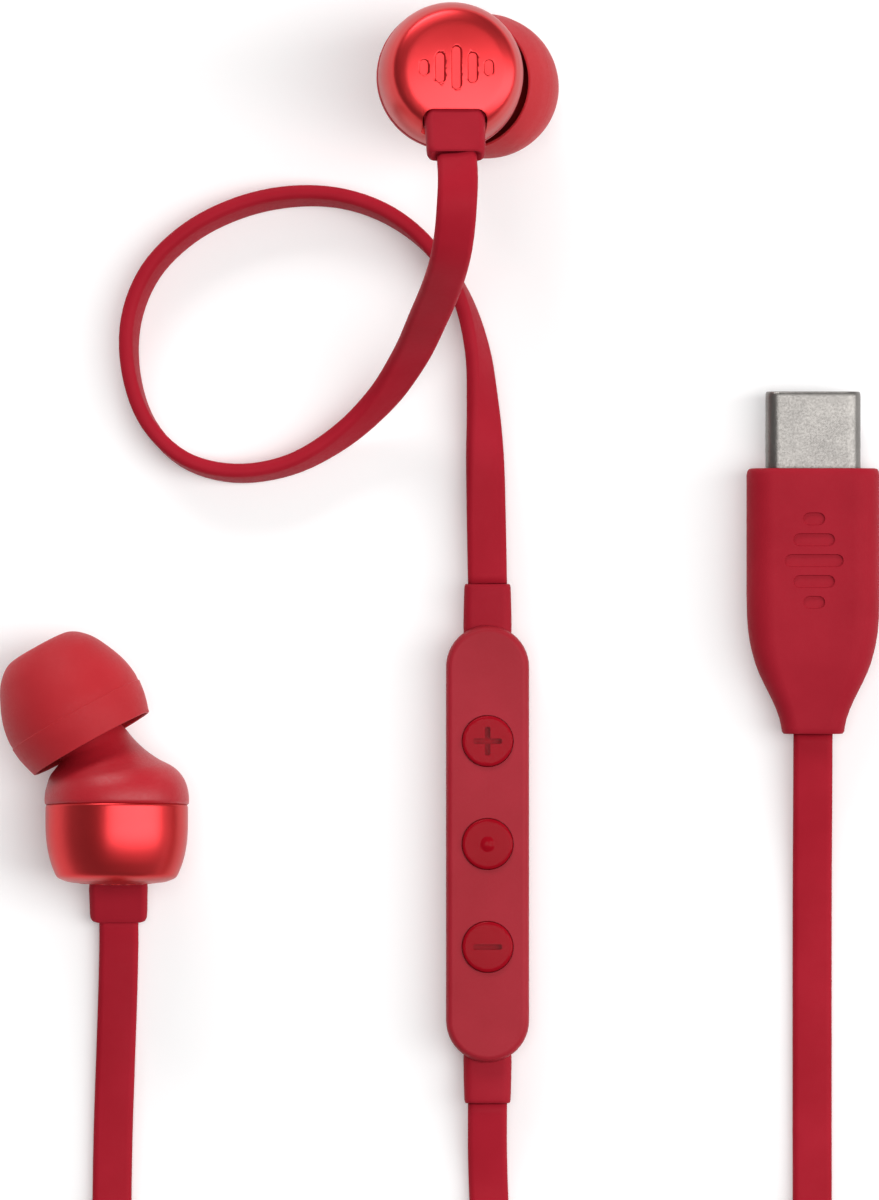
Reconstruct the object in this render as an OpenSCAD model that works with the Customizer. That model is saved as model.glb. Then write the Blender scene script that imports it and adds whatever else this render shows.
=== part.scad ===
// Wired in-ear earphones with flat cords, a three-button remote and a USB-C plug.
// +Z is up, and the origin is the middle of the remote's flat back, which lies on the table.

/* [Buds] */
// Diameter of the bud housing
bud_d = 12.3; // [11:0.1:14]
// Depth of the metal front cap
cap_depth = 7; // [6.8:0.1:7.5]
// Wall of the cap and of the rear shell
bud_wall = 0.8; // [0.6:0.1:0.9]
// Angle between the nozzle and the housing axis
nozzle_tilt = 29; // [25:1:32]
// Largest diameter of the silicone ear tip
tip_d = 12.5; // [12:0.1:12.8]
// Diameter of the lip that holds the ear tip on the nozzle
lip_d = 5.4; // [5.2:0.1:5.6]
// Radial clearance between that lip and the ear tip's bore
tip_clearance = 0.02; // [0.01:0.01:0.1]

/* [Remote] */
// Width of the remote
remote_w = 7.2; // [7:0.1:8]
// Length of the remote
remote_len = 37.8; // [36:0.1:42]
// Thickness of the remote without its buttons
remote_h = 4.6; // [4.5:0.1:5]
// Diameter of each button
button_d = 4.4; // [4:0.1:4.6]
// Distance between neighbouring buttons
button_pitch = 8.9; // [8:0.1:9.5]
// How far a released button stands above the cover
button_proud = 0.35; // [0.3:0.05:0.5]
// Radial clearance round each button
button_clearance = 0.05; // [0.03:0.01:0.1]

/* [Plug] */
// Width of the steel USB-C shell
usb_w = 8.25; // [8.2:0.05:8.3]
// Thickness of the steel USB-C shell
usb_h = 2.4; // [2.35:0.05:2.45]
// Length of the shell that shows
usb_len = 6.65; // [6.5:0.05:6.7]
// Width of the moulded grip
grip_w = 11.5; // [11:0.1:12.5]
// Thickness of the moulded grip
grip_h = 5.6; // [5.4:0.1:6.2]
// Length of the moulded grip
grip_len = 23; // [22:0.5:25]

/* [Cord] */
// Width of the flat cord
cord_w = 3.4; // [3:0.1:3.6]
// Thickness of the flat cord
cord_t = 1.25; // [1:0.05:1.4]

/* [Put-away coil] */
// Radius of the outermost turn
coil_r = 25; // [24.5:0.1:25.5]
// Distance from one turn to the next
coil_pitch = 1.5; // [1.45:0.05:1.55]
// Turns of the plug's cord, in the lowest layer
trunk_turns = 5.55; // [5.5:0.05:5.6]
// Height of the lowest layer above the table
coil_lift = 0.45; // [0.4:0.05:0.5]

/* [Hidden] */
$fn = 64;

// Buds: each is drawn round its own housing axis, +Z out of the cap's face, and then placed.
bud_r = bud_d / 2;
bud_in_r = bud_r - bud_wall;
left_seat = [-32, 3.5, 6.75];
left_rise = 3;
right_seat = [-3.3, 65.8, 15.1];
right_lean_x = 4;
right_lean_y = 3;
nozzle_root = 1.3;
neck_end = 4.5;
barrel_r = 2.35;
sound_r = 1.7;
mesh_r = 2.05;
mesh_t = 0.2;
nozzle_end = 10.2;
tip_end = 14;
lip_r = lip_d / 2;
tip_bore_r = lip_r + tip_clearance;
tip_r = tip_d / 2;
relief_w = 5.1;
relief_t = 1.9;
relief_out = 4.1;
relief_in = 1.8;
relief_rim = 3.5;
relief_sink = 0.45;
left_relief_angle = 64;
right_relief_angle = 30;
notch_w = 5.5;
notch_len = 6.4;
notch_depth = 2.6;
notch_corner = 0.8;

// Remote
cover_split = remote_h / 2;
cover_wall = 0.8;
edge_step = 0.45;
edge_h = 0.6;
board_z = 1.5;
board_t = 0.6;
dome_r = 1.8;
dome_h = 0.4;
dome_t = 0.1;
flange_r = button_d / 2 + 0.3;
flange_t = 0.35;
post_r = 0.6;
dome_gap = 0.02;
mic_y = -13;
remote_relief_w = 4.2;
remote_relief_t = 2.4;
remote_relief_out = 3.6;
remote_relief_in = 1.6;

// Plug
plug_x = 28.2;
grip_front = 32.5;
grip_z = grip_h / 2;
grip_full = 13;
grip_end_w = 5.4;
grip_end_h = 3.4;
grip_round = 0.42;
usb_wall = 0.3;
usb_inside = 1.6;
slot_w = 6.7;
slot_h = 0.8;
slot_depth = 5.2;
contact_pitch = 0.5;
contact_w = 0.25;
contact_t = 0.1;
contact_len = 4;
mould_w = 9.4;
mould_h = 3.8;
mould_len = 3;
mould_inset = 0.6;
mould_back = grip_front - mould_inset - mould_len;
board_w = 8;
board_len = 10.5;
plug_board_t = 0.8;
chip_size = 4;
chip_h = 0.9;
chip_inset = 5.4;

// Coil: three layers of turns round one centre, with the splitter in the hole
coil_x = -2;
coil_y = -80;
coil_side = 0.7;
layer_gap = 0.05;
layer_step = cord_w + layer_gap;
trunk_coil_r = [coil_r - trunk_turns * coil_pitch, coil_r];
right_coil_r = [15.5, 18.2];
left_coil_r = [14.1, 18.7];
splitter_len = 12;
splitter_w = 3.4;
splitter_h = 4.2;
splitter_y = 11.6;
splitter_z = 2.15;
tie_w = 5;
tie_t = 0.35;
tie_in = 11.1;
tie_out = 25.9;

red_metal = [0.78, 0.12, 0.14];
red_satin = [0.66, 0.1, 0.14];
red_silicone = [0.76, 0.2, 0.22];
red_rubber = [0.6, 0.12, 0.18];
red_cord = [0.67, 0.15, 0.19];
steel = [0.75, 0.73, 0.71];
board_green = [0.1, 0.35, 0.2];
black = [0.12, 0.12, 0.13];

// Routes of the stretches that are not coiled: x, y, height of the middle, and roll in degrees,
// where 0 lies flat and 90 stands on edge.
right_upper_route = [
    [-2.7, 58.7, 23.2, 0], [-2.6, 56.8, 24.3, 2], [-2.7, 54.4, 24.7, 4], [-2.9, 52.1, 23.8, 7],
    [-3.2, 50.3, 22.2, 10], [-3.9, 48, 18.2, 15], [-5.1, 45.3, 12.9, 22], [-6.8, 41.9, 7, 35],
    [-9.2, 38.5, 3.5, 52], [-12.8, 35.2, 2, 66], [-17.2, 32.8, 1.8, 76], [-22, 32.1, 1.8, 80],
    [-26.3, 33.3, 1.8, 86], [-29.4, 36.4, 1.8, 92], [-30.9, 40.7, 1.8, 98], [-30.9, 45.4, 1.8, 103],
    [-29.2, 49.6, 1.8, 105], [-25.9, 52.9, 1.8, 105], [-21.6, 55.1, 1.8, 105],
    [-17, 56.1, 1.8, 104], [-12.5, 55.9, 1.8, 101], [-8.4, 54.4, 1.8, 98],
    [-4.9, 51.6, 1.8, 90], [-2.3, 47.5, 1.8, 80], [-0.9, 42.9, 1.8, 66], [-0.4, 37.9, 1.7, 46],
    [-0.2, 33, 1.6, 20], [-0.1, 28, 1.9, 5],
    [0, 22.5, 2.3, 0]
];
right_lower_route = [
    [0, -22.5, 2.3, 0], [0, -26.5, 1.4, 0], [0.1, -30.3, 0.8, 4], [0.3, -34.2, 1.3, 22],
    [0.5, -38.5, 1.8, 52], [0.5, -43, 2.4, 82], [-0.1, -47.6, 3.9, 90], [-1.5, -52.2, 5.3, 90],
    [-3.8, -56.4, 5.6, 90], [-7.2, -60.1, 5.6, 90], [-10.9, -63.4, 5.6, 90],
    [-14.5, -66.7, 5.6, 90]
];
left_route = [
    [-32, -6.6, 1.1, 0], [-32, -8.6, 0.8, 0], [-32.1, -13, 0.7, 0], [-32.3, -19, 0.7, 0],
    [-32.5, -25, 0.7, 0], [-32.6, -31, 0.8, 4], [-32.6, -36.5, 1.3, 25], [-32, -43, 1.8, 55],
    [-30.6, -49.5, 2.2, 80], [-28.2, -56, 3.3, 90], [-25.6, -62.5, 5.2, 90],
    [-23, -69, 7.1, 90], [-21.2, -74.5, 8.5, 90], [-20.7, -80, 9.05, 90]
];
trunk_route = [
    [28.2, 9.5, 2.8, 0], [28.2, 3.5, 2.1, 0], [28.2, -3, 1.1, 0], [28.2, -10, 0.7, 0],
    [28.2, -17, 0.7, 0], [28.2, -24, 0.7, 0], [28.2, -31, 0.8, 5], [28.1, -38, 1.4, 30],
    [27.7, -45, 1.9, 60], [26.9, -52, 2.1, 85], [25.8, -59, 2.15, 90], [24.6, -66, 2.15, 90],
    [23.5, -73, 2.15, 90], [23, -80, 2.15, 90]
];
// Inside the ring, counted from its centre: from the coils to the splitter
trunk_inner_route = [
    [-15.9, 5.2, 2.15, 90], [-13.8, 8.5, 2.15, 90], [-10.4, 10.8, 2.15, 90], [-6, 11.6, 2.15, 90]
];
right_inner_route = [
    [6, 12.3, 2.15, 90], [9.2, 11, 2.2, 90], [11.6, 8.1, 2.5, 90], [13.3, 4.3, 2.9, 90],
    [13.9, 0, 3.4, 90], [13.1, -4.8, 4, 90], [10.6, -9.2, 4.6, 90], [6.6, -12.4, 5.2, 90],
    [1.5, -14.7, 5.6, 90]
];
left_inner_route = [
    [6, 10.9, 2.15, 90], [8.2, 9.8, 2.3, 90], [10.4, 7.3, 2.6, 90], [11.9, 3.9, 3.1, 90],
    [12.4, 0, 3.7, 90], [11.7, -4.2, 4.3, 90], [9.4, -8.1, 5, 90], [5.8, -11, 5.7, 90],
    [1.3, -12.4, 6.4, 90], [-3.5, -12, 7.1, 90], [-7.9, -10, 7.8, 90], [-11.2, -7.3, 8.5, 90],
    [-13, -5.4, 9.05, 90]
];

// ---------- shapes ----------
module stadium(w, h) {
    d = min(w, h);
    square([w > h ? w - d : w, w > h ? h : h - d], center = true);
    for (s = [-1, 1])
        translate(w > h ? [s * (w - d) / 2, 0] : [0, s * (h - d) / 2]) circle(d = d);
}

module rounded_rect(w, h, r) {
    square([w - 2 * r, h], center = true);
    square([w, h - 2 * r], center = true);
    for (sx = [-1, 1], sy = [-1, 1])
        translate([sx * (w / 2 - r), sy * (h / 2 - r)]) circle(r);
}

// ---------- buds ----------
module place_left() {
    translate(left_seat) rotate([90 - left_rise, 0, 0]) mirror([1, 0, 0]) children();
}

module place_right() {
    translate(right_seat) rotate([-right_lean_y, right_lean_x, 0]) children();
}

module on_nozzle() {
    translate([0, 0, -nozzle_root]) rotate([0, 180 - nozzle_tilt, 0]) children();
}

module on_relief(angle) {
    translate([0, -relief_rim, cap_depth - relief_sink]) rotate([90 - angle, 0, 0]) children();
}

module front_cap() {
    color(red_metal) difference() {
        rotate_extrude() polygon([
            [0, 0], [bud_r, 0], [bud_r, 3.2], [bud_r - 0.4, 4.8], [bud_r - 1, 6.1],
            [bud_r - 2, cap_depth - 0.27], [0, cap_depth]
        ]);
        translate([0, 0, -1]) rotate_extrude() polygon([
            [0, 0], [bud_in_r, 0], [bud_in_r, 4], [bud_in_r - 0.4, 5.4], [bud_in_r - 1, 6.4],
            [0, cap_depth - bud_wall + 1]
        ]);
        translate([0, 0.2 - relief_rim - notch_len / 2, cap_depth - notch_depth])
            linear_extrude(notch_depth + 1) rounded_rect(notch_w, notch_len, notch_corner);
    }
}

module nozzle_shell() {
    color(red_satin) difference() {
        union() {
            rotate_extrude() polygon([
                [0, 0], [bud_r, 0], [bud_r, -0.9], [bud_r - 0.25, -1.9], [bud_r - 0.85, -2.7],
                [bud_r - 1.95, -3.3], [0, -3.8]
            ]);
            rotate_extrude() polygon([
                [bud_in_r - 0.45, -0.5], [bud_in_r - 0.05, -0.5], [bud_in_r - 0.05, 1.2],
                [bud_in_r - 0.45, 1.2]
            ]);
            on_nozzle() rotate_extrude() polygon([
                [0, 0.6], [4.2, 0.6], [3.66, 1.86], [3.3, 3], [3.12, neck_end], [barrel_r, 4.7],
                [barrel_r, 9.2], [lip_r, 9.3], [lip_r, 9.9], [2.4, nozzle_end], [0, nozzle_end]
            ]);
        }
        rotate_extrude() polygon([
            [0, 1], [bud_in_r - 0.45, 1], [bud_in_r - 0.45, -0.8], [bud_in_r - 0.9, -1.8],
            [bud_in_r - 2, -2.3], [0, -3]
        ]);
        on_nozzle() {
            cylinder(h = nozzle_end + 1, r = sound_r);
            translate([0, 0, nozzle_end - mesh_t]) cylinder(h = 1, r = mesh_r);
        }
    }
}

module nozzle_mesh() {
    color(steel) on_nozzle() translate([0, 0, nozzle_end - mesh_t]) cylinder(h = mesh_t, r = mesh_r);
}

module ear_tip() {
    color(red_silicone) on_nozzle() rotate_extrude() polygon([
        [tip_r - 0.6, neck_end], [tip_r, 7.1], [tip_r - 0.13, 8.5], [tip_r - 0.55, 10.2],
        [tip_r - 1.2, 11.85], [tip_r - 2, 13], [tip_r - 2.85, 13.7], [2.5, tip_end],
        [1.9, tip_end], [1.9, 10.4], [tip_bore_r, 10.4], [tip_bore_r, 5.6], [3.4, 5.6],
        [3.4, 11.1], [4.5, 10.9], [5.1, 9.8], [5.55, 8.4], [5.65, 7.1], [5.1, neck_end]
    ]);
}

module driver_frame() {
    color(black) rotate_extrude() polygon([
        [4.85, -0.6], [4.85, 1.3], [3.2, 2.6], [2.7, 2.6], [2.7, 2.1], [4.4, 0.8], [4.4, -0.6]
    ]);
}

module driver_magnet() {
    color(steel) rotate_extrude() polygon([
        [0, 0.7], [1.8, 0.7], [1.8, 1.9], [2.65, 1.9], [2.65, 3], [0, 3]
    ]);
}

module diaphragm() {
    color([0.8, 0.75, 0.6]) rotate_extrude() polygon([
        [0, -0.75], [1.2, -0.62], [2.1, -0.3], [3.2, -0.62], [4.35, -0.3], [4.35, -0.2],
        [3.2, -0.52], [2.1, -0.2], [1.2, -0.52], [0, -0.65]
    ]);
}

module voice_coil() {
    color([0.75, 0.4, 0.2]) translate([0, 0, -0.15]) difference() {
        cylinder(h = 1.4, r = 2.25);
        translate([0, 0, -1]) cylinder(h = 3, r = 1.95);
    }
}

module strain_relief(angle) {
    color(red_rubber) on_relief(angle) translate([0, -relief_t / 2, -relief_in])
        linear_extrude(relief_in + relief_out) rounded_rect(relief_w, relief_t, 0.6);
}

// ---------- remote ----------
module remote_entries() {
    for (s = [-1, 1])
        translate([-remote_relief_w / 2, s * (remote_len / 2) - remote_relief_in,
                   cover_split - remote_relief_t / 2])
            cube([remote_relief_w, 2 * remote_relief_in, remote_relief_t]);
}

module remote_back_cover() {
    color(red_satin) difference() {
        union() {
            linear_extrude(edge_h) stadium(remote_w - 2 * edge_step, remote_len - 2 * edge_step);
            translate([0, 0, edge_h]) linear_extrude(cover_split - edge_h)
                stadium(remote_w, remote_len);
        }
        translate([0, 0, cover_wall]) linear_extrude(remote_h)
            stadium(remote_w - 2 * cover_wall, remote_len - 2 * cover_wall);
        translate([0, mic_y, -1]) cylinder(h = 3, r = 0.4);
        remote_entries();
    }
}

module remote_front_cover() {
    color(red_satin) difference() {
        union() {
            translate([0, 0, cover_split]) linear_extrude(cover_split - edge_h)
                stadium(remote_w, remote_len);
            translate([0, 0, remote_h - edge_h]) linear_extrude(edge_h)
                stadium(remote_w - 2 * edge_step, remote_len - 2 * edge_step);
        }
        linear_extrude(remote_h - cover_wall)
            stadium(remote_w - 2 * cover_wall, remote_len - 2 * cover_wall);
        for (i = [-1:1]) translate([0, i * button_pitch, 0])
            cylinder(h = remote_h + 1, r = button_d / 2 + button_clearance);
        remote_entries();
    }
}

module remote_board() {
    color(board_green) translate([0, 0, board_z]) linear_extrude(board_t)
        stadium(remote_w - 2 * cover_wall - 0.2, remote_len - 2 * cover_wall - 3.2);
}

module microphone() {
    color(black) translate([-1.3, mic_y - 1, cover_wall]) cube([2.6, 2, board_z - cover_wall]);
}

module button(i) {
    under = remote_h - cover_wall - 0.08;
    post_z = board_z + board_t + dome_h + dome_gap;
    color(red_metal) translate([0, i * button_pitch, 0]) {
        translate([0, 0, under - flange_t])
            cylinder(h = remote_h + button_proud - under + flange_t, r = button_d / 2);
        translate([0, 0, under - flange_t]) cylinder(h = flange_t, r = flange_r);
        translate([0, 0, post_z]) cylinder(h = under - post_z, r = post_r);
    }
}

module dome(i) {
    color(steel) translate([0, i * button_pitch, board_z + board_t]) rotate_extrude() polygon([
        [0, dome_h - dome_t], [1, dome_h - dome_t - 0.06], [dome_r - dome_t, 0], [dome_r, 0],
        [1, dome_h - 0.05], [0, dome_h]
    ]);
}

module remote_relief(s) {
    y_in = remote_len / 2 - remote_relief_in;
    color(red_rubber) translate([0, s * y_in, cover_split])
        rotate([-90 * s, 0, 0]) linear_extrude(remote_relief_in + remote_relief_out)
            rounded_rect(remote_relief_w, remote_relief_t, 0.8);
}

// ---------- plug ----------
module at_plug(y) {
    translate([plug_x, y, grip_z]) rotate([-90, 0, 0]) children();
}

module usb_shell() {
    color(steel) at_plug(grip_front - usb_inside) linear_extrude(usb_len + usb_inside)
        difference() {
            stadium(usb_w, usb_h);
            stadium(usb_w - 2 * usb_wall, usb_h - 2 * usb_wall);
        }
}

module contact_carrier() {
    color(black) difference() {
        at_plug(grip_front - usb_inside) linear_extrude(usb_len + usb_inside - 0.2)
            stadium(usb_w - 2 * usb_wall, usb_h - 2 * usb_wall);
        at_plug(grip_front + usb_len - slot_depth) linear_extrude(slot_depth + 1)
            square([slot_w, slot_h], center = true);
    }
}

module contacts() {
    color([0.85, 0.7, 0.3]) for (i = [0:11], s = [-1, 1])
        translate([plug_x + (i - 5.5) * contact_pitch - contact_w / 2,
                   grip_front + usb_len - slot_depth + 0.6,
                   grip_z + s * (slot_h - contact_t) / 2 - contact_t / 2])
            cube([contact_w, contact_len, contact_t]);
}

module mould_block() {
    at_plug(mould_back) linear_extrude(mould_len) rounded_rect(mould_w, mould_h, 0.8);
}

module inner_mould() {
    color(black) difference() {
        mould_block();
        at_plug(grip_front - usb_inside) linear_extrude(usb_inside + 1) stadium(usb_w, usb_h);
    }
}

module converter_board() {
    color(board_green) translate([plug_x - board_w / 2, mould_back - board_len,
                                  grip_z - plug_board_t])
        cube([board_w, board_len, plug_board_t]);
}

module converter_chip() {
    color(black) translate([plug_x - chip_size / 2, mould_back - chip_inset - chip_size / 2, grip_z])
        cube([chip_size, chip_size, chip_h]);
}

module grip_slice(y, w, h) {
    at_plug(y) linear_extrude(0.1) rounded_rect(w, h, h * grip_round, $fn = 32);
}

module plug_grip() {
    back = grip_front - grip_len;
    color(red_rubber) difference() {
        union() {
            at_plug(grip_front - grip_full) linear_extrude(grip_full)
                rounded_rect(grip_w, grip_h, grip_h * grip_round);
            hull() {
                grip_slice(grip_front - grip_full, grip_w, grip_h);
                grip_slice(back + 4, 7.4, 4.4);
            }
            hull() {
                grip_slice(back + 4, 7.4, 4.4);
                grip_slice(back, grip_end_w, grip_end_h);
            }
        }
        mould_block();
        at_plug(grip_front - 1) linear_extrude(2) stadium(usb_w, usb_h);
        translate([plug_x - board_w / 2, mould_back - board_len, grip_z - plug_board_t])
            cube([board_w, board_len + 0.1, plug_board_t + chip_h]);
    }
}

// ---------- cords ----------
// Corners of the flat cord's section in its own plane, as a slim octagon
section = [for (a = [22.5:45:337.5])
    [cord_w / 2 * sign(cos(a)) * (abs(cos(a)) > 0.5 ? 1 : 0.78),
     cord_t / 2 * sign(sin(a)) * (abs(sin(a)) > 0.5 ? 1 : 0.45)]];

function flat(p) = [p[0], p[1], p[2]];
function unit(v) = v / norm(v);
function along(route, i) = unit(flat(route[min(i + 1, len(route) - 1)]) - flat(route[max(i - 1, 0)]));
function ring(p, t) =
    let (side = unit(cross([0, 0, 1], t)), up = cross(t, side), roll = p[3],
         wide = side * cos(roll) - up * sin(roll), thin = cross(t, wide))
    [for (c = section) flat(p) + wide * c[0] + thin * c[1]];

module sweep(route) {
    sides = len(section);
    last = len(route) - 1;
    points = [for (i = [0:last]) each ring(route[i], along(route, i))];
    walls = [for (i = [0:last - 1], k = [0:sides - 1])
        each [[i * sides + k, i * sides + (k + 1) % sides, (i + 1) * sides + (k + 1) % sides],
              [i * sides + k, (i + 1) * sides + (k + 1) % sides, (i + 1) * sides + k]]];
    start = [for (k = [1:sides - 2]) [0, k + 1, k]];
    end = [for (k = [1:sides - 2]) [last * sides, last * sides + k, last * sides + k + 1]];
    polyhedron(points, concat(walls, start, end));
}

module inner(route) {
    translate([coil_x, coil_y, 0]) sweep(route);
}

module coil(r, layer) {
    translate([coil_x, coil_y, coil_lift + layer * layer_step]) rotate_extrude() polygon([
        [r[0] - coil_side, 0], [r[1] + coil_side, 0], [r[1] + coil_side, cord_w],
        [r[0] - coil_side, cord_w]
    ]);
}

module trunk_cord() {
    color(red_cord) {
        sweep(trunk_route);
        inner(trunk_inner_route);
    }
}

module left_cord() {
    color(red_cord) {
        sweep(left_route);
        inner(left_inner_route);
    }
}

module right_lower_cord() {
    color(red_cord) {
        sweep(right_lower_route);
        inner(right_inner_route);
    }
}

module right_upper_cord() {
    color(red_cord) sweep(right_upper_route);
}

module trunk_coil() {
    color(red_cord) coil(trunk_coil_r, 0);
}

module right_coil() {
    color(red_cord) coil(right_coil_r, 1);
}

module left_coil() {
    color(red_cord) coil(left_coil_r, 2);
}

module cord_splitter() {
    color(red_rubber) translate([coil_x, coil_y + splitter_y, splitter_z]) rotate([0, 90, 0])
        translate([0, 0, -splitter_len / 2]) linear_extrude(splitter_len)
            rounded_rect(splitter_h, splitter_w, 0.8);
}

// A flat strap round the ring's section, on the side away from the object
module coil_tie() {
    top = coil_lift + 2 * layer_step + cord_w + 0.1;
    color(black) translate([coil_x - tie_w / 2, coil_y, 0]) difference() {
        translate([0, -tie_out - tie_t, 0])
            cube([tie_w, tie_out - tie_in + 2 * tie_t, top + tie_t]);
        translate([-1, -tie_out, tie_t]) cube([tie_w + 2, tie_out - tie_in, top - tie_t]);
    }
}

place_left() front_cap();  // left_front_cap
place_left() nozzle_shell();  // left_nozzle_shell
place_left() nozzle_mesh();  // left_nozzle_mesh
place_left() driver_frame();  // left_driver_frame
place_left() driver_magnet();  // left_driver_magnet
place_left() diaphragm();  // left_diaphragm
place_left() voice_coil();  // left_voice_coil
place_left() strain_relief(left_relief_angle);  // left_strain_relief
place_left() ear_tip();  // left_ear_tip
place_right() front_cap();  // right_front_cap
place_right() nozzle_shell();  // right_nozzle_shell
place_right() nozzle_mesh();  // right_nozzle_mesh
place_right() driver_frame();  // right_driver_frame
place_right() driver_magnet();  // right_driver_magnet
place_right() diaphragm();  // right_diaphragm
place_right() voice_coil();  // right_voice_coil
place_right() strain_relief(right_relief_angle);  // right_strain_relief
place_right() ear_tip();  // right_ear_tip
remote_front_cover();
remote_back_cover();
remote_board();
microphone();
button(1);  // plus_button
button(0);  // multi_button
button(-1);  // minus_button
dome(1);  // plus_dome
dome(0);  // multi_dome
dome(-1);  // minus_dome
remote_relief(1);  // remote_top_relief
remote_relief(-1);  // remote_bottom_relief
usb_shell();
contact_carrier();
contacts();
inner_mould();
converter_board();
converter_chip();
plug_grip();
cord_splitter();
trunk_cord();
left_cord();
right_upper_cord();
right_lower_cord();
trunk_coil();
left_coil();
right_coil();
coil_tie();
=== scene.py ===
"""Wired in-ear earphones with flat red cords, a three-button remote and a USB-C plug."""
import math

import bmesh
import bpy
from mathutils import Matrix, Vector


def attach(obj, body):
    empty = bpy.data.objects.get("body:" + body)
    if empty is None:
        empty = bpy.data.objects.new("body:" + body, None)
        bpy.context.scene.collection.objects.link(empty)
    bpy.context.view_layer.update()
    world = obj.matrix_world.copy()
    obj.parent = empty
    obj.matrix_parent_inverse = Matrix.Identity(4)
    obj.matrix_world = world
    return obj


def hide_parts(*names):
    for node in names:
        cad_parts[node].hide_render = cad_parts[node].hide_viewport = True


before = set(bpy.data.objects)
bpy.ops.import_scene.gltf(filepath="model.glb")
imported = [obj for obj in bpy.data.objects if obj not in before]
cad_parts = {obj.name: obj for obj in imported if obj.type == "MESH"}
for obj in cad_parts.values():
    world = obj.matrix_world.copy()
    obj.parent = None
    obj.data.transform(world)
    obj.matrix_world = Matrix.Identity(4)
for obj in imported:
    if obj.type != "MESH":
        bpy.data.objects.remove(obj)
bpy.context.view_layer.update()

MM = 0.001
ROUND = 2 * math.pi
BEVEL_ANGLE = math.radians(50)
NORMAL_WEIGHT = 70


# ---------------------------------------------------------------- mesh helpers
def spline(points, step):
    """Points along a centripetal Catmull-Rom curve; values after the third ride along."""
    pts = [list(map(float, p)) for p in points]
    first = [2 * a - b for a, b in zip(pts[0], pts[1])]
    last = [2 * a - b for a, b in zip(pts[-1], pts[-2])]
    pts = [first] + pts + [last]
    dims = min(3, len(pts[0]))
    out = []
    for i in range(1, len(pts) - 2):
        quad = pts[i - 1:i + 3]
        knots = [0.0]
        for a, b in zip(quad, quad[1:]):
            knots.append(knots[-1] + max(math.dist(a[:dims], b[:dims]), 1e-6) ** 0.5)
        count = max(1, round(math.dist(quad[1][:dims], quad[2][:dims]) / step))
        for k in range(count):
            t = knots[1] + (knots[2] - knots[1]) * k / count
            row = [p[:] for p in quad]
            for level in (1, 2, 3):
                for j in range(4 - level):
                    if level == 3:
                        lo, hi = knots[1], knots[2]
                    else:
                        lo, hi = knots[j], knots[j + level]
                    w = (t - lo) / (hi - lo)
                    row[j] = [x * (1 - w) + y * w for x, y in zip(row[j], row[j + 1])]
            out.append(row[0])
    out.append(pts[-2])
    return out


def build(name, verts, faces, material, body="root", place=None, smooth_deg=35):
    """A mesh object from points in millimetres, which rides on body."""
    mesh = bpy.data.meshes.new(name)
    matrix = place or Matrix.Identity(4)
    mesh.from_pydata([(matrix @ Vector(v)) * MM for v in verts], [], faces)
    bm = bmesh.new()
    bm.from_mesh(mesh)
    bmesh.ops.recalc_face_normals(bm, faces=bm.faces)
    bm.to_mesh(mesh)
    bm.free()
    obj = bpy.data.objects.new(name, mesh)
    bpy.context.scene.collection.objects.link(obj)
    if material:
        mesh.materials.append(material)
    finish_normals(obj, smooth_deg)
    if body:
        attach(obj, body)
    return obj


def finish_normals(obj, smooth_deg):
    """Shades obj smooth, with sharp edges where it turns by more than smooth_deg."""
    mesh = obj.data
    mesh.polygons.foreach_set("use_smooth", [True] * len(mesh.polygons))
    if smooth_deg < 180:
        mesh.set_sharp_from_angle(angle=math.radians(smooth_deg))


def skin(rings, caps=(True, True)):
    """Vertices and faces of a tube through rings of equal length."""
    count = len(rings[0])
    verts = [p for ring in rings for p in ring]
    faces = []
    for i in range(len(rings) - 1):
        for k in range(count):
            j = (k + 1) % count
            a, b = i * count, (i + 1) * count
            faces.append((a + k, a + j, b + j, b + k))
    if caps[0]:
        faces.append(tuple(range(count))[::-1])
    if caps[1]:
        base = (len(rings) - 1) * count
        faces.append(tuple(range(base, base + count)))
    return verts, faces


def circle(radius, count):
    """Outline of a circle, counter-clockwise."""
    turn = [ROUND * k / count for k in range(count)]
    return [(radius * math.cos(a), radius * math.sin(a)) for a in turn]


def lathe(profile, count=96, around=True):
    """Vertices and faces of profile, as (radius, height), turned round the Z axis.

    With around, the profile's end joins its start.
    """
    verts, faces, rows = [], [], []
    for r, z in profile:
        if r < 1e-6:
            rows.append([len(verts)] * count)
            verts.append((0, 0, z))
        else:
            rows.append(list(range(len(verts), len(verts) + count)))
            verts += [(x, y, z) for x, y in circle(r, count)]
    pairs = list(zip(rows, rows[1:]))
    if around:
        pairs.append((rows[-1], rows[0]))
    for lower, upper in pairs:
        for k in range(count):
            j = (k + 1) % count
            face = []
            for v in (lower[k], lower[j], upper[j], upper[k]):
                if v not in face:
                    face.append(v)
            if len(face) > 2:
                faces.append(tuple(face))
    return verts, faces


def rounded(w, h, r, arc=6):
    """Outline of a rounded rectangle, counter-clockwise."""
    out = []
    for q, (sx, sy) in enumerate(((1, 1), (-1, 1), (-1, -1), (1, -1))):
        for k in range(arc + 1):
            a = (q + k / arc) * math.pi / 2
            out.append((sx * (w / 2 - r) + r * math.cos(a),
                        sy * (h / 2 - r) + r * math.sin(a)))
    return out


def evaluated(obj):
    """Bakes the modifiers of obj into its mesh."""
    depsgraph = bpy.context.evaluated_depsgraph_get()
    mesh = bpy.data.meshes.new_from_object(obj.evaluated_get(depsgraph))
    obj.modifiers.clear()
    old = obj.data
    obj.data = mesh
    bpy.data.meshes.remove(old)


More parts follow.
